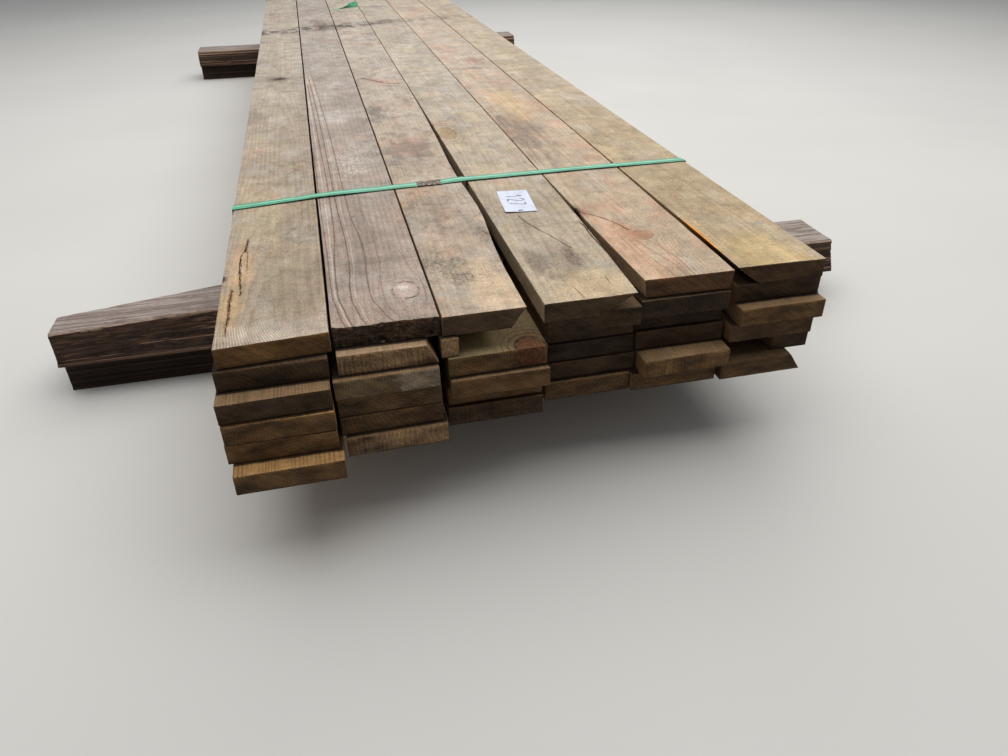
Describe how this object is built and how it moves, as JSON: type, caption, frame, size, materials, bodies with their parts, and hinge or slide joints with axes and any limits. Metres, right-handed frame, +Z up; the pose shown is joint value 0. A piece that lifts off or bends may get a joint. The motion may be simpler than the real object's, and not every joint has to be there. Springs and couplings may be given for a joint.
{
  "type": "strapped lumber pack",
  "caption": "Strapped pack of rough-sawn hardwood planks with ragged near ends, lying on two pairs of weathered bearer timbers that leave room for lifting forks.",
  "frame": {"origin": "on the floor, at the middle of the whole pack and its bearers seen from above", "axes": "+X to the right across the planks seen from their ragged near ends, +Y along the planks away from those ends, +Z up"},
  "size_m": [2.134, 5.652, 0.456],
  "materials": {
    "plank_wood": "rough sawn, dusty",
    "bearer_wood": "weathered grey",
    "strap_plastic": "embossed satin green",
    "seal_steel": "dull zinc",
    "tag_paper": "matt white"
  },
  "bodies": {
    "root": {"plank_c1_l1": "plank_wood", "plank_c1_l2": "plank_wood", "plank_c1_l3": "plank_wood", "plank_c1_l4": "plank_wood", "plank_c1_l5": "plank_wood", "plank_c1_l6": "plank_wood", "plank_c2_l1": "plank_wood", "plank_c2_l2": "plank_wood", "plank_c2_l3": "plank_wood", "plank_c2_l4": "plank_wood", "plank_c2_l5": "plank_wood", "plank_c2_l6": "plank_wood", "plank_c3_l1": "plank_wood", "plank_c3_l2": "plank_wood", "plank_c3_l3": "plank_wood", "plank_c3_l4": "plank_wood", "plank_c3_l5": "plank_wood", "plank_c3_l6": "plank_wood", "plank_c4_l1": "plank_wood", "plank_c4_l2": "plank_wood", "plank_c4_l3": "plank_wood", "plank_c4_l4": "plank_wood", "plank_c4_l5": "plank_wood", "plank_c4_l6": "plank_wood", "plank_c5_l1": "plank_wood", "plank_c5_l2": "plank_wood", "plank_c5_l3": "plank_wood", "plank_c5_l4": "plank_wood", "plank_c5_l5": "plank_wood", "plank_c5_l6": "plank_wood", "plank_c6_l1": "plank_wood", "plank_c6_l2": "plank_wood", "plank_c6_l3": "plank_wood", "plank_c6_l4": "plank_wood", "plank_c6_l5": "plank_wood", "plank_c6_l6": "plank_wood", "front_bearer_top": "bearer_wood", "front_bearer_base": "bearer_wood", "rear_bearer_top": "bearer_wood", "rear_bearer_base": "bearer_wood", "near_strap": "strap_plastic", "far_strap": "strap_plastic", "loose_strap_end": "strap_plastic", "near_seal": "seal_steel", "far_seal": "seal_steel", "lot_tag": "tag_paper"}
  },
  "joints": []
}
